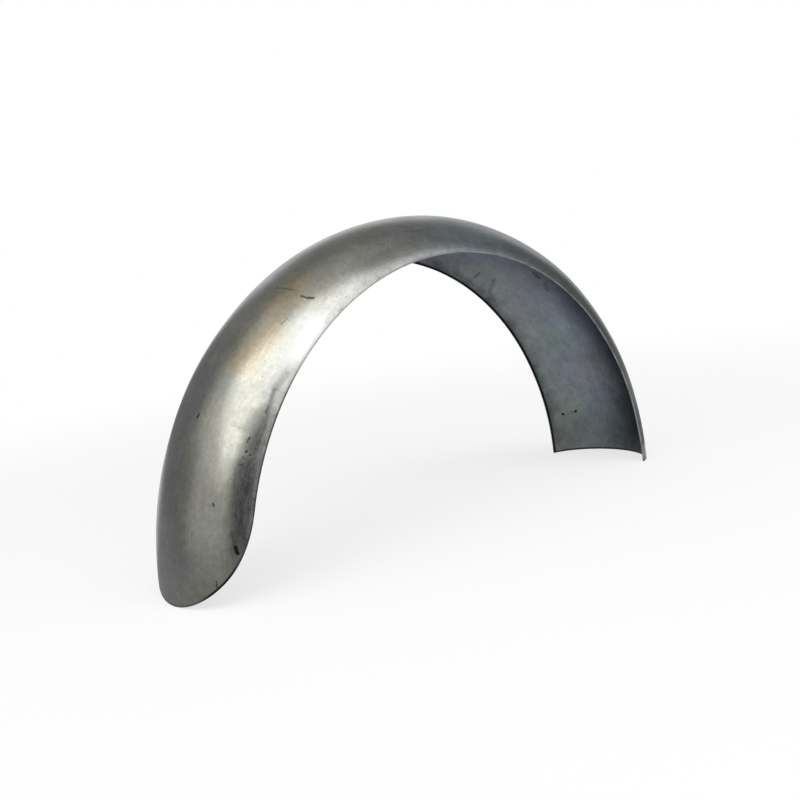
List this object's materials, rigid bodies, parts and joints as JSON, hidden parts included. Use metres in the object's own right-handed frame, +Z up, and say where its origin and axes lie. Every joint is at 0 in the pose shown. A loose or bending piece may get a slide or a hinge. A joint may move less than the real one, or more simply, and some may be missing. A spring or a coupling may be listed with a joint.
{
  "type": "motorcycle rear fender",
  "caption": "Bare pressed-steel motorcycle rear fender: a rounded channel rolled to a half circle over the tyre, square at its front end and cut to a rounded tip at its rear end.",
  "frame": {"origin": "wheel centre: midway between the two ends, level with them and in the fender's middle plane, which is also the middle of the box's bottom", "axes": "+X to the square end, -X to the rounded tip, Y along the wheel's axle, +Z up to the crown; it stands as an arch on both ends"},
  "size_m": [0.69, 0.154, 0.345],
  "materials": {
    "bare_steel": "bare pressed steel sheet, unpainted, satin, faintly warm tinted, with handling scratches and dark specks"
  },
  "bodies": {
    "root": {"fender": "bare_steel"}
  },
  "joints": []
}
